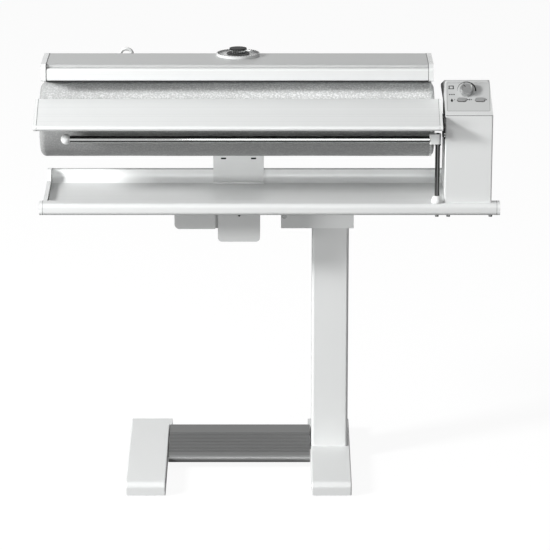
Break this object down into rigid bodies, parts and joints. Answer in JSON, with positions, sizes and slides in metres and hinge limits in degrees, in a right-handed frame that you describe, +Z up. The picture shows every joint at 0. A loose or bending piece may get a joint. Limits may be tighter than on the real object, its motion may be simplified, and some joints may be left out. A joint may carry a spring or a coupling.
{
  "type": "flatwork ironer",
  "caption": "Household rotary ironer: padded roller under a heated shoe with feed board, laundry rail and tray, control box at the right, on a column stand with foot pedal.",
  "frame": {"origin": "on the floor, under the middle of the bounding box", "axes": "+X along the roller towards the control box, +Y towards the rear, +Z up"},
  "size_m": [0.993, 0.38, 0.9505],
  "materials": {
    "white_paint": "satin",
    "white_plastic": "satin",
    "grey_paint": "satin",
    "brushed_aluminium": "satin",
    "bare_aluminium": "satin",
    "steel": "satin",
    "stainless_tray": "satin",
    "dark_metal": "satin",
    "chrome": "polished",
    "rubber": "matte",
    "black_plastic": "satin",
    "silver_plastic": "satin",
    "roller_cloth": "matte",
    "padding": "matte"
  },
  "bodies": {
    "stand": {"base_frame": "steel", "left_foot_cover": "white_paint", "right_foot_cover": "white_paint", "foot_pads": "rubber", "column": "white_paint", "pivot_bracket": "grey_paint", "stand_bolts": "steel", "rest_buffer": "rubber", "pivot_pin": "steel", "pedal_spring": "steel", "pedal_switch": "black_plastic"},
    "pedal": {"pedal_plate": "dark_metal"},
    "left_wheel": {"left_wheel": "black_plastic"},
    "right_wheel": {"right_wheel": "black_plastic"},
    "lock_lever": {"lock_lever": "black_plastic"},
    "head": {"head_beam": "steel", "front_rail": "white_paint", "rail_caps": "white_plastic", "tray_sheet": "stainless_tray", "tray_end_cap": "white_plastic", "support_bracket": "grey_paint", "lift_housings": "grey_paint", "lift_motor": "steel", "roller_bearings": "steel", "drive_motor": "steel", "drive_belt": "rubber", "box_front": "white_paint", "box_body": "white_paint", "control_head": "white_plastic", "panel_plate": "white_plastic", "mains_gland": "black_plastic", "head_screws": "steel", "board_pivot_block": "black_plastic", "rail_foot": "white_plastic", "rail_post": "chrome"},
    "roller": {"roller_core": "steel", "roller_shaft": "steel", "roller_padding": "padding", "roller_cloth": "roller_cloth", "roller_pulley": "bare_aluminium"},
    "motor_pulley": {"motor_pulley": "bare_aluminium"},
    "heater": {"heater_shoe": "bare_aluminium", "heating_elements": "steel", "heater_arm": "steel", "heater_cover": "brushed_aluminium", "heater_caps": "white_plastic", "water_tank": "white_plastic", "steam_dial": "silver_plastic", "cable_hook": "white_plastic"},
    "finger_guard": {"finger_guard": "white_plastic"},
    "steam_knob": {"steam_knob": "silver_plastic"},
    "lift_rod": {"lift_rod": "steel"},
    "temperature_knob": {"temperature_knob": "silver_plastic"},
    "left_button": {"left_button": "silver_plastic"},
    "right_button": {"right_button": "silver_plastic"},
    "feed_board": {"feed_board": "brushed_aluminium", "board_caps": "white_plastic", "board_arm": "black_plastic"},
    "laundry_rail": {"rail_knuckle": "white_plastic", "rail_rod": "chrome"}
  },
  "joints": [
    {"name": "head_fold", "type": "hinge", "parent": "stand", "child": "head", "pos_m": [0.035, 0.06, 0.578], "axis": [0, -1, 0], "range_deg": [0, 90]},
    {"name": "lock_lever_turn", "type": "hinge", "parent": "stand", "child": "lock_lever", "pos_m": [0.035, 0.113, 0.578], "axis": [0, 1, 0], "range_deg": [0, 60]},
    {"name": "pedal_press", "type": "hinge", "parent": "stand", "child": "pedal", "pos_m": [0, 0.125, 0.022], "axis": [1, 0, 0], "range_deg": [0, 3], "stiffness_Nm_per_rad": 8, "springref_deg": -14.32},
    {"name": "left_wheel_spin", "type": "hinge", "parent": "stand", "child": "left_wheel", "pos_m": [-0.2374, 0.172, 0.015], "axis": [1, 0, 0], "continuous": true},
    {"name": "right_wheel_spin", "type": "hinge", "parent": "stand", "child": "right_wheel", "pos_m": [0.1084, 0.172, 0.015], "axis": [1, 0, 0], "continuous": true},
    {"name": "roller_spin", "type": "hinge", "parent": "head", "child": "roller", "pos_m": [0, 0, 0.803], "axis": [-1, 0, 0], "continuous": true},
    {"name": "motor_spin", "type": "hinge", "parent": "head", "child": "motor_pulley", "pos_m": [0.43, 0.01, 0.69], "axis": [-1, 0, 0], "continuous": true},
    {"name": "heater_lift", "type": "hinge", "parent": "head", "child": "heater", "pos_m": [0, 0.13, 0.7], "axis": [-1, 0, 0], "range_deg": [0, 8]},
    {"name": "lift_rod_pull", "type": "slide", "parent": "head", "child": "lift_rod", "axis": [0, -1, 0], "range_m": [0, 0.018]},
    {"name": "finger_guard_tilt", "type": "hinge", "parent": "heater", "child": "finger_guard", "pos_m": [0, -0.059, 0.928], "axis": [1, 0, 0], "range_deg": [0, 8], "stiffness_Nm_per_rad": 0.5, "springref_deg": -17.19},
    {"name": "steam_knob_turn", "type": "hinge", "parent": "heater", "child": "steam_knob", "pos_m": [-0.0646, 0.045, 0.93258], "axis": [0, 0.0856, 0.9963], "range_deg": [0, 120]},
    {"name": "feed_board_flip", "type": "hinge", "parent": "head", "child": "feed_board", "pos_m": [0.3718, -0.118, 0.806], "axis": [1, 0, 0], "range_deg": [0, 100]},
    {"name": "laundry_rail_swing", "type": "hinge", "parent": "head", "child": "laundry_rail", "pos_m": [0.3616, -0.114, 0.7925], "axis": [0, 0, -1], "range_deg": [-90, 0]},
    {"name": "temperature_knob_turn", "type": "hinge", "parent": "head", "child": "temperature_knob", "pos_m": [0.423, -0.07861, 0.89059], "axis": [0, -0.7495, 0.662], "range_deg": [0, 270]},
    {"name": "left_button_press", "type": "slide", "parent": "head", "child": "left_button", "axis": [0, 0.7495, -0.662], "range_m": [0, 0.0012], "stiffness_N_per_m": 400, "springref_m": -0.002},
    {"name": "right_button_press", "type": "slide", "parent": "head", "child": "right_button", "axis": [0, 0.7495, -0.662], "range_m": [0, 0.0012], "stiffness_N_per_m": 400, "springref_m": -0.002}
  ],
  "couplings": [
    {"joint": "motor_spin", "follows": "roller_spin", "ratio": 3.3333},
    {"joint": "lift_rod_pull", "follows": "heater_lift", "m_per_rad": 0.125}
  ]
}
